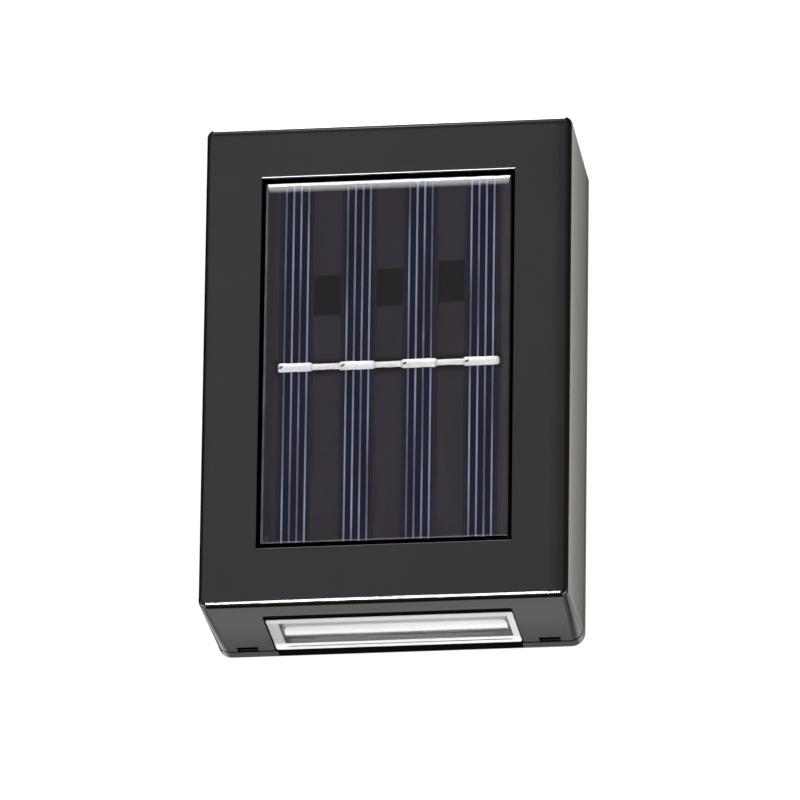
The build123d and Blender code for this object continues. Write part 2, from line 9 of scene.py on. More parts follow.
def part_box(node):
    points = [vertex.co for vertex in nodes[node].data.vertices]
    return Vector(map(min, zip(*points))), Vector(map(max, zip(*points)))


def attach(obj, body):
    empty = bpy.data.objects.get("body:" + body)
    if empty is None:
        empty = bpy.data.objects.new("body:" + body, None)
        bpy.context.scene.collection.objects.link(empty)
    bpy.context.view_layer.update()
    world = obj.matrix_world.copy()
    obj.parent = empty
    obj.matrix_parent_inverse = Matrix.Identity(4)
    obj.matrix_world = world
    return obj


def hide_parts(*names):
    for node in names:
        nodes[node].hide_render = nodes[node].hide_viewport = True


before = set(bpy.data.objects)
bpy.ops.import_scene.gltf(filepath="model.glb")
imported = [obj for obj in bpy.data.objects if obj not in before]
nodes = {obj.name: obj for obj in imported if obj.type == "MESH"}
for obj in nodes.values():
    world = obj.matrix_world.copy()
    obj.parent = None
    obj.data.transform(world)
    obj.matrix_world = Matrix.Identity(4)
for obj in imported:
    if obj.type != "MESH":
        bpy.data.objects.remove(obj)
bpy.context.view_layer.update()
scene = bpy.context.scene
MM = 0.001


# ------------------------------------------------------------------- camera
# Long lens from below and a little to the right, at the photograph's angle.
def place_camera():
    world = Matrix(
        (
            (0.991355, 0.036028, 0.126165, 0.320697),
            (0.130615, -0.362344, -0.922847, -2.354176),
            (0.012467, 0.931348, -0.363917, -0.925202),
            (0, 0, 0, 1),
        )
    )
    data = bpy.data.cameras.new("camera")
    data.sensor_fit = "HORIZONTAL"
    data.sensor_width = 36.0
    data.lens = 585.0
    data.clip_start = 0.05
    data.clip_end = 200.0
    cam = bpy.data.objects.new("camera", data)
    scene.collection.objects.link(cam)
    cam.matrix_world = world
    scene.camera = cam


place_camera()


# -------------------------------------------------------------------- stage
def studio_world():
    """Soft studio light: a bright ceiling, a low front light and a pale back wall, on a white backdrop."""
    world = bpy.data.worlds.new("studio")
    scene.world = world
    world.use_nodes = True
    nt = world.node_tree
    nt.nodes.clear()
    out = nt.nodes.new("ShaderNodeOutputWorld")
    coord = nt.nodes.new("ShaderNodeTexCoord")
    split = nt.nodes.new("ShaderNodeSeparateXYZ")
    nt.links.new(coord.outputs["Generated"], split.inputs[0])

    def math_node(op, a, b=None):
        n = nt.nodes.new("ShaderNodeMath")
        n.operation = op
        for i, v in enumerate((a, b)):
            if v is None:
                continue
            if isinstance(v, (int, float)):
                n.inputs[i].default_value = v
            else:
                nt.links.new(v, n.inputs[i])
        return n.outputs[0]

    def step(value, low, high):
        n = nt.nodes.new("ShaderNodeMapRange")
        n.interpolation_type = "SMOOTHSTEP"
        nt.links.new(value, n.inputs["Value"])
        n.inputs["From Min"].default_value = low
        n.inputs["From Max"].default_value = high
        return n.outputs["Result"]

    def lobe(direction, inner, outer, value):
        """A round light in one direction, full inside one angle and gone outside the other."""
        d = Vector(direction).normalized()
        n = nt.nodes.new("ShaderNodeVectorMath")
        n.operation = "DOT_PRODUCT"
        nt.links.new(coord.outputs["Generated"], n.inputs[0])
        n.inputs[1].default_value = d
        s = step(n.outputs["Value"], math.cos(math.radians(outer)), math.cos(math.radians(inner)))
        return math_node("MULTIPLY", s, value)

    # heading: 0 in front, 90 to the right, 180 behind; height: 0 level, 90 overhead
    forward = math_node("MULTIPLY", split.outputs["Y"], -1.0)
    heading = math_node("MULTIPLY", math_node("ARCTAN2", split.outputs["X"], forward), 180 / math.pi)
    height = math_node("MULTIPLY", math_node("ARCSINE", split.outputs["Z"]), 180 / math.pi)
    # roll: 0 in front, 90 overhead, 180 behind, -90 below
    roll = math_node("MULTIPLY", math_node("ARCTAN2", split.outputs["Z"], forward), 180 / math.pi)

    def window(u, u0, u1, su, v, v0, v1, sv, value):
        """A softbox between two values of each measure, with soft edges."""
        total = step(u, u0 - su, u0 + su)
        for q in (
            math_node("SUBTRACT", 1.0, step(u, u1 - su, u1 + su)),
            step(v, v0 - sv, v0 + sv),
            math_node("SUBTRACT", 1.0, step(v, v1 - sv, v1 + sv)),
        ):
            total = math_node("MULTIPLY", total, q)
        return math_node("MULTIPLY", total, value)

    def strip(r0, r1, soft, x0, x1, value, soft_x=0.05):
        return window(roll, r0, r1, soft, split.outputs["X"], x0, x1, soft_x, value)

    def box(h0, h1, soft_h, e0, e1, soft_e, value):
        return window(heading, h0, h1, soft_h, height, e0, e1, soft_e, value)

    parts = [
        strip(-37, -6, 3, -0.23, -0.02, 61.0, 0.04),
        strip(40, 122, 9, -0.28, 0.03, 26.0, 0.04),
        lobe((-0.126, -0.923, 0.364), 4, 42, 0.17),
        strip(-145, -62, 9, -0.96, -0.35, 5.0, 0.04),
        strip(-145, -62, 9, 0.35, 0.96, 5.0, 0.04),
        box(60, 400, 12, -44, -17, 6, 0.72),
        box(-400, -60, 12, -44, -17, 6, 0.72),
        box(60, 400, 12, -8, 9, 4, 1.0),
        box(-400, -60, 12, -8, 9, 4, 1.0),
        box(118, 165, 6, 12, 60, 5, 1.15),
        box(118, 176, 5, 12, 60, 5, 0.30),
        # a dark flag behind on the left keeps that edge crisp
        box(-172, -75, 8, 14, 45, 5, -0.10),
    ]
    total = math_node("ADD", parts[0], 0.10)
    for p in parts[1:]:
        total = math_node("ADD", total, p)
    tint = nt.nodes.new("ShaderNodeMix")
    tint.data_type = "RGBA"
    tint.inputs["A"].default_value = (0.99, 0.985, 1.0, 1.0)
    tint.inputs["B"].default_value = (1.0, 0.965, 0.915, 1.0)
    nt.links.new(step(split.outputs["Y"], -0.2, 0.6), tint.inputs["Factor"])
    studio = nt.nodes.new("ShaderNodeBackground")
    nt.links.new(tint.outputs["Result"], studio.inputs["Color"])
    nt.links.new(total, studio.inputs["Strength"])
    white = nt.nodes.new("ShaderNodeBackground")
    white.inputs["Color"].default_value = (1, 1, 1, 1)
    white.inputs["Strength"].default_value = 1.05
    path = nt.nodes.new("ShaderNodeLightPath")
    mix = nt.nodes.new("ShaderNodeMixShader")
    nt.links.new(path.outputs["Is Camera Ray"], mix.inputs["Fac"])
    nt.links.new(studio.outputs[0], mix.inputs[1])
    nt.links.new(white.outputs[0], mix.inputs[2])
    nt.links.new(mix.outputs[0], out.inputs["Surface"])


studio_world()
scene.view_settings.view_transform = "Standard"
scene.view_settings.look = "None"


# ---------------------------------------------------------- material helpers
class Mat:
    """One Principled material with the object's own coordinates, in metres."""

    def __init__(self, name, roughness=0.5, metallic=0.0, ior=1.5, **sockets):
        self.mat = bpy.data.materials.new(name)
        self.mat.use_nodes = True
        self.nt = self.mat.node_tree
        self.nt.nodes.clear()
        self.out = self.nt.nodes.new("ShaderNodeOutputMaterial")
        self.bsdf = self.nt.nodes.new("ShaderNodeBsdfPrincipled")
        self.nt.links.new(self.bsdf.outputs[0], self.out.inputs["Surface"])
        self.bsdf.inputs["Roughness"].default_value = roughness
        self.bsdf.inputs["Metallic"].default_value = metallic
        self.bsdf.inputs["IOR"].default_value = ior
        for k, v in sockets.items():
            self.bsdf.inputs[k.replace("_", " ")].default_value = v
        self.coord = self.nt.nodes.new("ShaderNodeTexCoord").outputs["Object"]
        self._split = None

    def link(self, a, b):
        self.nt.links.new(a, b)

    def set(self, name, value):
        s = self.bsdf.inputs[name]
        if isinstance(value, bpy.types.NodeSocket):
            self.link(value, s)
        else:
            s.default_value = value

    def xyz(self, axis):
        if self._split is None:
            self._split = self.nt.nodes.new("ShaderNodeSeparateXYZ")
            self.link(self.coord, self._split.inputs[0])
        return self._split.outputs[axis]

    def math(self, op, a, b=None, c=None):
        n = self.nt.nodes.new("ShaderNodeMath")
        n.operation = op
        for i, v in enumerate((a, b, c)):
            if v is None:
                continue
            if isinstance(v, (int, float)):
                n.inputs[i].default_value = v
            else:
                self.link(v, n.inputs[i])
        return n.outputs[0]

    def stretch(self, scale):
        n = self.nt.nodes.new("ShaderNodeMapping")
        n.inputs["Scale"].default_value = scale
        self.link(self.coord, n.inputs["Vector"])
        return n.outputs[0]

    def noise(self, scale, detail=3.0, rough=0.5, coord=None, distortion=0.0):
        n = self.nt.nodes.new("ShaderNodeTexNoise")
        n.inputs["Scale"].default_value = scale
        n.inputs["Detail"].default_value = detail
        n.inputs["Roughness"].default_value = rough
        n.inputs["Distortion"].default_value = distortion
        self.link(coord if coord is not None else self.coord, n.inputs["Vector"])
        return n.outputs[0]

    def cells(self, scale, coord=None):
        n = self.nt.nodes.new("ShaderNodeTexVoronoi")
        n.inputs["Scale"].default_value = scale
        self.link(coord if coord is not None else self.coord, n.inputs["Vector"])
        return n.outputs["Distance"]

    def span(self, value, a, b, c, d, smooth=False):
        n = self.nt.nodes.new("ShaderNodeMapRange")
        if smooth:
            n.interpolation_type = "SMOOTHSTEP"
        self.link(value, n.inputs["Value"])
        for k, v in (("From Min", a), ("From Max", b), ("To Min", c), ("To Max", d)):
            n.inputs[k].default_value = v
        return n.outputs["Result"]

    def mix(self, factor, a, b):
        n = self.nt.nodes.new("ShaderNodeMix")
        n.data_type = "RGBA"
        for k, v in (("Factor", factor), ("A", a), ("B", b)):
            s = n.inputs[k] if k == "Factor" else [i for i in n.inputs if i.name == k and i.type == "RGBA"][0]
            if isinstance(v, bpy.types.NodeSocket):
                self.link(v, s)
            elif k == "Factor":
                s.default_value = v
            else:
                s.default_value = (*v, 1.0) if len(v) == 3 else v
        return [o for o in n.outputs if o.type == "RGBA"][0]

    def bump(self, height, distance, strength=1.0, normal=None):
        n = self.nt.nodes.new("ShaderNodeBump")
        n.inputs["Strength"].default_value = strength
        n.inputs["Distance"].default_value = distance
        self.link(height, n.inputs["Height"])
        if normal is not None:
            self.link(normal, n.inputs["Normal"])
        return n.outputs[0]


def moulded(name, dark, light, roughness, grain=0.000012, grain_scale=5200.0, ior=1.5, crown_and_painted_shade=False):
    """Moulded plastic: slight shade drift, fine spark-eroded grain, a few polished patches; when crowned, also bowed
    walls and painted shade on its front edges, seam gap, notches and recess.
    """
    m = Mat(name, roughness=roughness, ior=ior)
    drift = m.noise(38.0, 2.0, 0.5)
    speck = m.noise(2400.0, 2.0, 0.6)
    shade = m.math("ADD", m.math("MULTIPLY", drift, 0.6), m.math("MULTIPLY", speck, 0.4))
    tone = m.mix(m.span(shade, 0.35, 0.65, 0.0, 1.0), dark, light)
    if crown_and_painted_shade:
        # painted shade: the front face is coloured darker towards its right edge
        x, y, z = m.xyz("X"), m.xyz("Y"), m.xyz("Z")
        front = m.span(y, -0.0288, -0.0291, 0.0, 1.0)
        right = m.math("ADD", m.span(x, 0.0322, 0.0350, 0.0, 0.85), m.span(x, -0.020, 0.034, 0.0, 0.12))
        tone = m.mix(m.math("MULTIPLY", right, front), tone, (0.0050, 0.0044, 0.0050))
        # painted shade: its upper and left front edges end in a thin painted black line, the upper one with painted
        # shade fading in below it
        upper = m.math("ADD", m.span(z, 0.0480, 0.0489, 0.0, 0.6), m.span(z, 0.0489, 0.0490, 0.0, 0.4))
        upper = m.math("MULTIPLY", upper, m.span(z, 0.04933, 0.04938, 1.0, 0.0))
        left = m.span(x, -0.03592, -0.0351, 1.0, 0.0)
        line = m.math("MULTIPLY", m.math("MAXIMUM", upper, left), front)
        # painted shade: the bottom of the seam gap, the notches and the panel's recess are coloured black and made
        # metallic, as if no light reached them
        outside = m.math("MAXIMUM", m.span(m.math("ABSOLUTE", x), 0.03590, 0.03596, 0.0, 1.0),
                         m.span(m.math("ABSOLUTE", z), 0.04990, 0.04996, 0.0, 1.0))
        deep = m.span(y, -0.0291, -0.0288, 0.0, 1.0)
        # painted shade also blackens the lower edge of the panel's recess opening
        painted_lip_shade = m.math("MULTIPLY", m.span(y, -0.029498, -0.029494, 0.0, 1.0), m.span(m.math("ABSOLUTE", x), 0.0252, 0.0254, 1.0, 0.0))
        painted_lip_shade = m.math("MULTIPLY", painted_lip_shade, m.span(y, -0.0291, -0.0290, 1.0, 0.0))
        painted_lip_shade = m.math("MULTIPLY", painted_lip_shade, m.math("MULTIPLY", m.span(z, -0.0375, -0.0380, 0.0, 1.0), m.span(z, -0.0385, -0.0384, 0.0, 1.0)))
        rear = m.span(y, -0.0038, -0.0037, 1.0, 0.0)
        painted_crevice_shade = m.math("MULTIPLY", m.math("MULTIPLY", deep, rear), m.math("SUBTRACT", 1.0, outside))
        painted_crevice_shade = m.math("MAXIMUM", painted_crevice_shade, painted_lip_shade)
        # painted shade and the painted edge lines share one near-black colour, made metallic so they reflect almost
        # nothing
        painted_shade = m.math("MAXIMUM", painted_crevice_shade, line)
        tone = m.mix(painted_shade, tone, (0.0010, 0.0010, 0.0010))
        m.set("Metallic", m.math("MULTIPLY", painted_shade, 0.97))
    m.set("Base Color", tone)
    polish = m.noise(90.0, 3.0, 0.6)
    m.set("Roughness", m.span(polish, 0.3, 0.7, roughness - 0.008, roughness + 0.012))
    fine = m.noise(grain_scale, 2.0, 0.6)
    n1 = None
    if crown_and_painted_shade:
        # the four long walls bow out by a few tenths of a millimetre
        along = m.math("SUBTRACT", m.xyz("Y"), -0.0165)
        n1 = m.bump(m.math("MULTIPLY", m.math("MULTIPLY", along, along), -2.1), 1.0, 1.0)
    m.set("Normal", m.bump(fine, grain, 0.6, n1))
    return m.mat


def rubbery(name, dark, light):
    m = Mat(name, roughness=0.75, ior=1.45, Specular_IOR_Level=0.0)
    m.set("Base Color", m.mix(m.noise(700.0, 3.0, 0.6), dark, light))
    m.set("Roughness", m.span(m.noise(300.0, 3.0, 0.6), 0.3, 0.7, 0.62, 0.85))
    m.set("Normal", m.bump(m.noise(3500.0, 3.0, 0.7), 0.00003, 0.6))
    return m.mat


def metal(name, a, b, roughness, brushed=None):
    m = Mat(name, roughness=roughness, metallic=1.0)
    coord = m.stretch(brushed) if brushed else m.coord
    streak = m.noise(900.0, 3.0, 0.6, coord)
    m.set("Base Color", m.mix(streak, a, b))
    m.set("Roughness", m.span(m.noise(500.0, 3.0, 0.6, coord), 0.3, 0.7, roughness - 0.07, roughness + 0.1))
    m.set("Normal", m.bump(streak, 0.00001, 0.5))
    return m.mat


def assign(obj, material):
    if len(obj.material_slots) == 0:
        obj.data.materials.append(material)
    for slot in obj.material_slots:
        slot.material = material


# ----------------------------------------------------------- mesh helpers
def mesh_object(name, verts, faces, smooth=True):
    me = bpy.data.meshes.new(name)
    me.from_pydata([tuple(float(c) for c in v) for v in verts], [], faces)
    me.validate()
    me.update()
    if smooth:
        me.shade_smooth()
        me.set_sharp_from_angle(angle=math.radians(35))
    ob = bpy.data.objects.new(name, me)
    scene.collection.objects.link(ob)
    return ob


def fix_normals(ob):
    bm = bmesh.new()
    bm.from_mesh(ob.data)
    bmesh.ops.recalc_face_normals(bm, faces=bm.faces)
    bm.to_mesh(ob.data)
    bm.free()
    ob.data.update()


# ------------------------------------------------------------- the materials
shell = moulded("shell_plastic", (0.0250, 0.0212, 0.0242), (0.0272, 0.0232, 0.0264), 0.17, ior=1.53, crown_and_painted_shade=True)
cap_plastic = moulded("button_plastic", (0.0090, 0.0082, 0.0088), (0.0120, 0.0112, 0.0118), 0.16, 0.000004)
holder_plastic = moulded("holder_plastic", (0.03, 0.03, 0.03), (0.045, 0.045, 0.045), 0.42)
switch_plastic = moulded("switch_plastic", (0.16, 0.16, 0.165), (0.2, 0.2, 0.205), 0.4)
component = moulded("component_plastic", (0.012, 0.012, 0.012), (0.022, 0.022, 0.022), 0.5)
white_plastic = moulded("reflector_plastic", (0.80, 0.80, 0.785), (0.88, 0.88, 0.865), 0.3, 0.000006)
seal_rubber = rubbery("seal_rubber", (0.0018, 0.0018, 0.0018), (0.0036, 0.0035, 0.0034))
foam = rubbery("foam_tape", (0.0004, 0.0004, 0.0004), (0.0010, 0.0010, 0.0010))
steel = metal("zinc_steel", (0.62, 0.62, 0.63), (0.74, 0.74, 0.75), 0.28, (1.0, 1.0, 4.0))
spring_steel = metal("spring_steel", (0.66, 0.65, 0.63), (0.78, 0.77, 0.75), 0.2)


def board_material(name, mask, trace):
    """Printed circuit board: solder mask with faint copper runs under it."""
    m = Mat(name, roughness=0.35)
    brick = m.nt.nodes.new("ShaderNodeTexBrick")
    brick.inputs["Scale"].default_value = 160.0
    brick.inputs["Mortar Size"].default_value = 0.06
    brick.offset = 0.37
    swap = m.nt.nodes.new("ShaderNodeMapping")
    swap.inputs["Rotation"].default_value = (math.radians(90), 0, 0)
    m.link(m.coord, swap.inputs["Vector"])
    m.link(swap.outputs[0], brick.inputs["Vector"])
    run = m.span(brick.outputs["Fac"], 0.0, 1.0, 0.0, 0.8)
    base = m.mix(m.noise(500.0, 3.0, 0.6), mask, tuple(c * 1.25 for c in mask))
    m.set("Base Color", m.mix(run, base, trace))
    m.set("Roughness", m.span(m.noise(900.0, 3.0, 0.6), 0.3, 0.7, 0.28, 0.42))
    m.set("Normal", m.bump(run, 0.00003, 0.5))
    return m.mat


board_green = board_material("board_green", (0.012, 0.075, 0.028), (0.035, 0.13, 0.055))
board_white = board_material("board_white", (0.66, 0.66, 0.63), (0.58, 0.58, 0.55))


def painted_ribbon_shadow(m):
    """Painted shadow darkens the panel right beside the ribbon."""
    lo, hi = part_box("tabbing_ribbon")
    away = m.math("ABSOLUTE", m.math("SUBTRACT", m.xyz("Z"), (lo.z + hi.z) / 2))
    near = m.span(away, 0.75 * MM, 2.3 * MM, 0.85, 0.0, True)
    along = m.math("MULTIPLY", m.span(m.xyz("X"), lo.x - 1.2 * MM, lo.x + 0.2 * MM, 0.0, 1.0, True), m.span(m.xyz("X"), hi.x - 0.2 * MM, hi.x + 1.2 * MM, 1.0, 0.0, True))
    return m.math("MULTIPLY", near, along)


def panel_board_material():
    m = Mat("panel_board", roughness=0.5, Specular_IOR_Level=0.0)
    weave = m.nt.nodes.new("ShaderNodeTexChecker")
    weave.inputs["Scale"].default_value = 1900.0
    m.link(m.coord, weave.inputs["Vector"])
    base = m.mix(m.noise(60.0, 3.0, 0.55), (0.0288, 0.0246, 0.0316), (0.0314, 0.0270, 0.0344))
    base = m.mix(m.math("MULTIPLY", weave.outputs["Fac"], 0.08), base, (0.038, 0.034, 0.042))
    # a little darker along the left border, lighter along the right one
    base = m.mix(m.span(m.xyz("X"), -0.0216, -0.0228, 0.0, 0.5, True), base, (0.012, 0.0105, 0.0145))
    base = m.mix(m.span(m.xyz("X"), 0.0218, 0.0229, 0.0, 0.5, True), base, (0.048, 0.045, 0.052))
    # painted shadow beside the ribbon
    base = m.mix(painted_ribbon_shadow(m), base, (0.003, 0.003, 0.003))
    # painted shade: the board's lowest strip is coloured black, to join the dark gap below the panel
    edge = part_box("panel_substrate")[0].z
    m.set("Base Color", m.mix(m.span(m.xyz("Z"), edge + 0.30 * MM, edge + 0.26 * MM, 0.0, 1.0), base, (0.0008, 0.0008, 0.0008)))
    m.set("Normal", m.bump(m.noise(1500.0, 2.0, 0.5), 0.00001, 0.4))
    return m.mat


def adhesive_material():
    m = Mat("adhesive_squares", roughness=0.6, Specular_IOR_Level=0.0)
    m.set("Base Color", m.mix(m.noise(300.0, 3.0, 0.6), (0.0124, 0.0092, 0.0103), (0.0138, 0.0104, 0.0116)))
    m.set("Normal", m.bump(m.noise(900.0, 3.0, 0.6), 0.00001, 0.4))
    return m.mat


def silicon_material():
    """Dark blue between the silver lines, greyer at the two cut edges of each strip."""
    m = Mat("silicon", roughness=0.3, Specular_IOR_Level=0.04)
    off = m.math("WRAP", m.math("SUBTRACT", m.xyz("X"), -0.0179), -0.006075, 0.006075)
    dist = m.math("ABSOLUTE", off)
    edge = m.span(dist, 0.0023, 0.0031, 0.0, 1.0, True)
    streak = m.noise(420.0, 4.0, 0.6, m.stretch((1.0, 1.0, 0.06)))
    blue = m.mix(m.span(streak, 0.35, 0.65, 0.0, 1.0), (0.0003, 0.0008, 0.0088), (0.0019, 0.0031, 0.0165))
    tone = m.mix(edge, blue, (0.0136, 0.0126, 0.0214))
    # painted shadow beside the ribbon
    m.set("Base Color", m.mix(painted_ribbon_shadow(m), tone, (0.0005, 0.0007, 0.0030)))
    m.set("Roughness", m.span(m.noise(800.0, 2.0, 0.5), 0.3, 0.7, 0.40, 0.5))
    return m.mat


def silver_material():
    m = Mat("silver_print", roughness=0.45, Specular_IOR_Level=0.1)
    along = m.noise(620.0, 1.0, 0.4, m.stretch((1.0, 0.0, 0.045)))
    fine = m.noise(1500.0, 3.0, 0.6, m.stretch((1.0, 1.0, 0.2)))
    tone = m.math("ADD", m.span(along, 0.38, 0.62, 0.0, 0.8, True), m.span(fine, 0.3, 0.7, 0.0, 0.2))
    m.set("Base Color", m.mix(tone, (0.077, 0.077, 0.115), (0.282, 0.310, 0.460)))
    m.set("Roughness", m.span(m.noise(1500.0, 2.0, 0.5), 0.3, 0.7, 0.35, 0.6))
    return m.mat


def tin_material():
    """Bright solder, with a small dark spot of painted shadow near the left end of each pad."""
    m = Mat("tinned_ribbon", roughness=0.35, metallic=0.26)
    lo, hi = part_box("tabbing_ribbon")
    bright = m.mix(m.span(m.noise(1300.0, 3.0, 0.6), 0.25, 0.6, 0.0, 1.0), (0.84, 0.84, 0.835), (0.97, 0.97, 0.965))
    across = m.math("WRAP", m.math("ADD", m.xyz("X"), 20.73 * MM), -6.075 * MM, 6.075 * MM)
    lift = m.math("SUBTRACT", m.xyz("Z"), (lo.z + hi.z) / 2 + 0.05 * MM)
    skew = m.math("SUBTRACT", across, m.math("MULTIPLY", lift, 0.7))
    u, v = m.math("DIVIDE", skew, 0.38 * MM), m.math("DIVIDE", lift, 0.32 * MM)
    ring = m.math("ADD", m.math("MULTIPLY", u, u), m.math("MULTIPLY", v, v))
    ring = m.math("ADD", ring, m.span(m.noise(2600.0, 2.0, 0.6), 0.3, 0.7, -0.4, 0.4))
    pit = m.span(m.cells(620.0, m.stretch((1.0, 0.0, 1.6))), 0.03, 0.06, 1.0, 0.0)
    # the ring is painted shadow; the pits are the solder's own dark marks
    dark = m.math("MAXIMUM", m.span(ring, 0.7, 1.2, 0.95, 0.0), m.math("MULTIPLY", pit, 0.6))
    m.set("Base Color", m.mix(dark, bright, (0.03, 0.028, 0.028)))
    m.set("Roughness", m.span(m.noise(900.0, 3.0, 0.6), 0.3, 0.7, 0.28, 0.5))
    m.set("Normal", m.bump(m.noise(1600.0, 3.0, 0.6), 0.00004, 0.5))
    return m.mat


def resin_material():
    m = Mat("clear_resin", roughness=0.03, ior=1.5, Transmission_Weight=1.0)
    m.bsdf.inputs["Base Color"].default_value = (1, 1, 1, 1)
    clear = m.mix(m.noise(120.0, 2.0, 0.5), (0.985, 0.985, 0.99), (1.0, 1.0, 1.0))
    # painted shade: its lower and right side faces are coloured black, so the gaps beside the panel read dark
    lo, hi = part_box("panel_encapsulant")
    thin = 0.014 * MM
    side = m.math("MAXIMUM", m.span(m.xyz("Z"), lo.z + 0.26 * MM + thin, lo.z + 0.26 * MM + thin * 1.2, 1.0, 0.0), m.span(m.xyz("X"), hi.x - thin * 1.2, hi.x - thin, 0.0, 1.0))
    m.set("Base Color", m.mix(side, clear, (0.001, 0.001, 0.001)))
    m.set("Roughness", m.span(m.noise(200.0, 3.0, 0.6), 0.3, 0.7, 0.02, 0.05))
    # the sawn edge is a little cloudy along the left and along the bottom
    left = m.span(m.xyz("X"), -0.02390, -0.0234, 1.0, 0.0, True)
    low = m.span(m.xyz("Z"), -0.03695, -0.03675, 1.0, 0.0, True)
    cloud = m.math("MAXIMUM", left, low)
    patch = m.span(m.noise(260.0, 3.0, 0.6), 0.3, 0.7, 0.07, 0.15)
    m.set("Transmission Weight", m.math("SUBTRACT", 1.0, m.math("MULTIPLY", cloud, patch)))
    m.set("Normal", m.bump(m.noise(40.0, 1.0, 0.3), 0.00001, 0.3))
    return m.mat


def lens_material():
    """Clear acrylic: frosted on its rims and on its long rib, clear in the sunk window."""
    m = Mat("clear_lens", roughness=0.08, ior=1.49, Transmission_Weight=1.0)
    y = m.xyz("Y")
    x = m.xyz("X")
    inside = m.math("MULTIPLY", m.span(x, -0.0214, -0.0211, 0.0, 1.0, True), m.span(x, 0.0221, 0.0224, 1.0, 0.0, True))
    front_rim = m.span(y, -0.0192, -0.0188, 0.80, 0.0, True)
    rib_low = m.span(y, -0.0156, -0.0149, 0.55, 1.0, True)
    rib_high = m.span(y, -0.0103, -0.0101, 1.0, 0.0, True)
    rib = m.math("MULTIPLY", m.math("MULTIPLY", rib_low, rib_high), inside)
    rear = m.span(y, -0.0081, -0.0080, 0.0, 1.0, True)
    sides = m.math("MAXIMUM", m.span(x, -0.0217, -0.0219, 0.0, 0.62, True), m.span(x, 0.0227, 0.0229, 0.0, 0.85, True))
    frost = m.math("MAXIMUM", m.math("MAXIMUM", m.math("MAXIMUM", front_rim, rear), sides), rib)
    haze = m.span(m.noise(120.0, 3.0, 0.6, m.stretch((0.2, 1.0, 1.0))), 0.3, 0.7, 0.90, 1.0)
    amount = m.math("ADD", m.math("MULTIPLY", m.math("MULTIPLY", frost, haze), 0.86), 0.10)
    m.set("Transmission Weight", m.math("SUBTRACT", 1.0, amount))
    # painted shade: the fine groove is coloured dark
    groove = m.math("MULTIPLY", m.span(y, -0.00668, -0.00660, 0.0, 1.0), m.span(y, -0.00622, -0.00614, 1.0, 0.0))
    groove = m.math("MULTIPLY", groove, inside)
    clean = m.mix(m.noise(150.0, 2.0, 0.5), (0.95, 0.95, 0.945), (0.985, 0.985, 0.98))
    m.set("Base Color", m.mix(m.math("MULTIPLY", groove, 0.75), clean, (0.05, 0.05, 0.05)))
    m.set("Roughness", m.span(m.noise(260.0, 3.0, 0.6), 0.3, 0.7, 0.06, 0.14))
    m.set("Normal", m.bump(m.noise(160.0, 2.0, 0.5, m.stretch((0.2, 1.0, 1.0))), 0.00002, 0.4))
    return m.mat


def led_material():
    m = Mat("led_package", roughness=0.3)
    glow = m.cells(900.0)
    m.set("Base Color", m.mix(m.span(glow, 0.0, 0.6, 0.0, 1.0), (0.85, 0.70, 0.22), (0.90, 0.86, 0.70)))
    return m.mat


def coil_material():
    m = Mat("lacquered_coil", roughness=0.25)
    wave = m.nt.nodes.new("ShaderNodeTexWave")
    wave.inputs["Scale"].default_value = 900.0
    m.link(m.coord, wave.inputs["Vector"])
    m.set("Base Color", m.mix(wave.outputs["Fac"], (0.05, 0.16, 0.09), (0.10, 0.26, 0.16)))
    m.set("Normal", m.bump(wave.outputs["Fac"], 0.00004, 0.5))
    return m.mat


def sleeve_material():
    """Plain two-tone shrink sleeve with a bare metal end."""
    m = Mat("cell_sleeve", roughness=0.22)
    band = m.span(m.xyz("X"), 0.0120, 0.0124, 0.0, 1.0)
    shade = m.noise(200.0, 3.0, 0.5)
    grey = m.mix(shade, (0.10, 0.22, 0.34), (0.13, 0.26, 0.39))
    m.set("Base Color", m.mix(band, grey, (0.55, 0.56, 0.56)))
    m.set("Normal", m.bump(m.noise(400.0, 3.0, 0.6), 0.00003, 0.4))
    return m.mat


def wire_material(name, dark, light):
    """Smooth extruded insulation with a slight shade drift along the wire."""
    m = Mat(name, roughness=0.4)
    m.set("Base Color", m.mix(m.noise(900.0, 2.0, 0.5), dark, light))
    m.set("Roughness", m.span(m.noise(600.0, 2.0, 0.5), 0.3, 0.7, 0.34, 0.46))
    m.set("Normal", m.bump(m.noise(2500.0, 2.0, 0.5), 0.00002, 0.4))
    return m.mat


resin = resin_material()
lens = lens_material()
red_wire = wire_material("red_wire", (0.30, 0.012, 0.010), (0.42, 0.02, 0.015))
white_wire = wire_material("white_wire", (0.62, 0.62, 0.60), (0.74, 0.74, 0.72))
MATERIAL_OF = {
    "front_housing": shell, "back_cover": shell, "keyhole_caps": shell,
    "back_cover_gasket": seal_rubber, "lower_lens_seal": seal_rubber, "upper_lens_seal": seal_rubber,
    "panel_encapsulant": resin, "panel_substrate": panel_board_material(),
    "gap_pads": adhesive_material(),
    "solar_cells": silicon_material(), "cell_grid_lines": silver_material(),
    "tabbing_ribbon": tin_material(), "panel_tape": foam,
    "lower_lens": lens, "upper_lens": lens,
    "lower_reflector": white_plastic, "upper_reflector": white_plastic,
    "lower_led_board": board_white, "upper_led_board": board_white,
    "lower_leds": led_material(), "upper_leds": led_material(),
    "control_board": board_green, "controller_ic": component, "board_passives": component,
    "inductor": coil_material(), "battery": sleeve_material(), "battery_holder": holder_plastic,
    "battery_spring": spring_steel, "battery_contacts": spring_steel,
    "cover_screws": steel, "board_screws": steel,
    "switch_body": switch_plastic, "switch_plunger": cap_plastic, "button_cap": cap_plastic,
    "solar_leads": red_wire, "battery_leads": red_wire, "lower_led_leads": white_wire, "upper_led_leads": white_wire,
}
for name, ob in nodes.items():
    assign(ob, MATERIAL_OF[name])


# ------------------------------------------------------------ resin casting


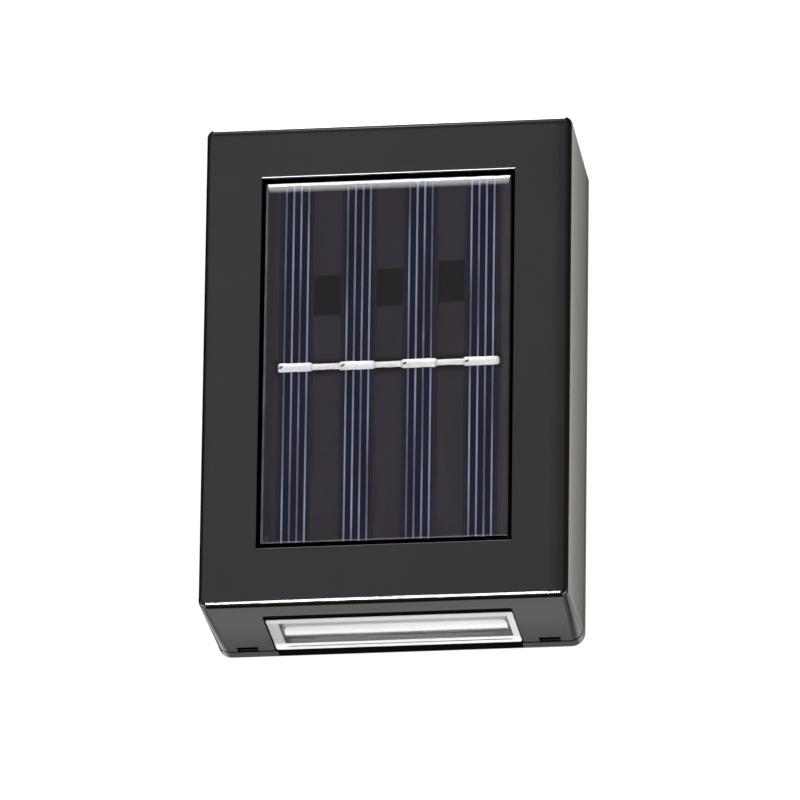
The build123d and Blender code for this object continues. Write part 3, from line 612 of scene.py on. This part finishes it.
def soft_rectangle(x0, x1, z0, z1, radius, per_corner=8, per_side=14):
    """Points round a rounded rectangle in X and Z, always the same count."""
    pts = []
    corners = (
        (x1 - radius, z1 - radius, 0),
        (x0 + radius, z1 - radius, 90),
        (x0 + radius, z0 + radius, 180),
        (x1 - radius, z0 + radius, 270),
    )
    for cx, cz, start in corners:
        for i in range(per_corner + 1):
            a = math.radians(start + 90 * i / per_corner)
            pts.append((cx + radius * math.cos(a), cz + radius * math.sin(a)))
    full = []
    for i, a in enumerate(pts):
        b = pts[(i + 1) % len(pts)]
        full.append(a)
        if (i + 1) % (per_corner + 1) == 0:
            full += [(a[0] + (b[0] - a[0]) * k / per_side, a[1] + (b[1] - a[1]) * k / per_side) for k in range(1, per_side)]
    return full


def build_resin():
    """The cast resin: it slopes down to its edge, over a wide margin at the top and a narrow one below."""
    lo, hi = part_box("panel_encapsulant")
    back, front = hi.y + 0.01 * MM, lo.y
    top, left, right, low, lift = 2.4 * MM, 0.7 * MM, 0.40 * MM, 0.03 * MM, 0.26 * MM
    # slope of the margin, from the edge inwards, as angle at each share of its width
    shares = np.linspace(0.0, 1.0, 27)
    angle = np.interp(shares, [0.0, 0.05, 0.20, 0.29, 0.33, 0.50, 0.66, 0.80, 0.93, 1.0], [30.0, 17.5, 15.0, 12.5, 8.2, 7.6, 7.0, 6.2, 5.0, 0.0])
    rise = np.concatenate(([0.0], np.cumsum(np.diff(shares) * np.tan(np.radians((angle[1:] + angle[:-1]) / 2))))) * top
    rings = [(0.02, back), (0.0, back - 0.05 * MM)]
    rings += [(float(t), float(front + rise[-1] - h)) for t, h in zip(shares, rise)]
    verts, faces = [], []
    count = 0
    for t, y in rings:
        x0, x1 = lo.x + left * t, hi.x - right * t
        z0, z1 = lo.z + lift + low * t, hi.z - top * t
        pts = soft_rectangle(x0, x1, z0, z1, 0.35 * MM)
        count = len(pts)
        verts += [(x, y, z) for x, z in pts]
    for r in range(len(rings) - 1):
        for i in range(count):
            j = (i + 1) % count
            faces.append((r * count + i, r * count + j, (r + 1) * count + j, (r + 1) * count + i))
    faces.append(tuple(range(count)))
    faces.append(tuple(reversed(range((len(rings) - 1) * count, len(rings) * count))))
    ob = mesh_object("panel_resin", verts, faces)
    fix_normals(ob)
    assign(ob, resin)
    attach(ob, "housing")
    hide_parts("panel_encapsulant")
    return ob


build_resin()


# ----------------------------------------------------------- tinned ribbon
def build_ribbon():
    """One soldered ribbon: wide puffy pads on the strips, narrower flat links between them."""
    lo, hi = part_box("tabbing_ribbon")
    rng = np.random.default_rng(11)
    cz = (lo.z + hi.z) / 2
    base = hi.y
    centres = [-17.9 * MM, -5.75 * MM, 6.4 * MM, 18.55 * MM]
    n = 420
    xs = np.linspace(lo.x + 0.25 * MM, hi.x + 0.05 * MM, n)
    wob = np.interp(xs, np.linspace(xs[0], xs[-1], 60), rng.normal(0, 1, 60))
    wob2 = np.interp(xs, np.linspace(xs[0], xs[-1], 45), rng.normal(0, 1, 45))
    bump = np.interp(xs, np.linspace(xs[0], xs[-1], 90), rng.normal(0, 1, 90))
    verts, faces = [], []
    ring = 12
    for i, x in enumerate(xs):
        pad = 0.0
        for c in centres:
            d = abs(x - (c - 0.05 * MM))
            pad = max(pad, 1.0 - min(1.0, max(0.0, (d - 3.05 * MM) / (0.6 * MM))))
        pad = pad * pad * (3 - 2 * pad)
        end = min(1.0, (min(x - xs[0], xs[-1] - x) + 0.05 * MM) / (0.25 * MM)) ** 0.5
        half = (0.62 + 0.29 * pad) * MM * (0.55 + 0.45 * end) + wob[i] * 0.02 * MM
        thick = (0.15 + 0.16 * pad) * MM * (0.4 + 0.6 * end) + bump[i] * 0.012 * MM * (0.4 + pad)
        mid = cz + wob2[i] * 0.02 * MM
        for k in range(ring):
            a = 2 * math.pi * k / ring
            ca, sa = math.cos(a), math.sin(a)
            zz = math.copysign(abs(ca) ** 0.55, ca) * half
            yy = (math.copysign(abs(sa) ** 0.8, sa) * 0.5 + 0.5) * thick
            verts.append((x, base - yy, mid + zz))
    for i in range(n - 1):
        for k in range(ring):
            j = (k + 1) % ring
            faces.append((i * ring + k, (i + 1) * ring + k, (i + 1) * ring + j, i * ring + j))
    faces.append(tuple(range(ring)))
    faces.append(tuple(reversed(range((n - 1) * ring, n * ring))))
    ob = mesh_object("soldered_ribbon", verts, faces)
    fix_normals(ob)
    assign(ob, MATERIAL_OF["tabbing_ribbon"])
    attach(ob, "housing")
    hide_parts("tabbing_ribbon")


build_ribbon()


# --------------------------------------------------------------- the floor
def build_floor():
    n = 64
    r = 40.0
    verts = [(0, 0, -3.2)] + [(r * math.cos(2 * math.pi * i / n), r * math.sin(2 * math.pi * i / n), -3.2) for i in range(n)]
    faces = [(0, i + 1, (i + 1) % n + 1) for i in range(n)]
    ob = mesh_object("floor", verts, faces, smooth=False)
    m = Mat("pale_floor", roughness=0.8)
    m.set("Base Color", m.mix(m.noise(0.6, 2.0, 0.5), (0.86, 0.86, 0.855), (0.9, 0.9, 0.895)))
    assign(ob, m.mat)
    ob.visible_glossy = False
    ob.visible_diffuse = False
    ob.visible_transmission = False


build_floor()
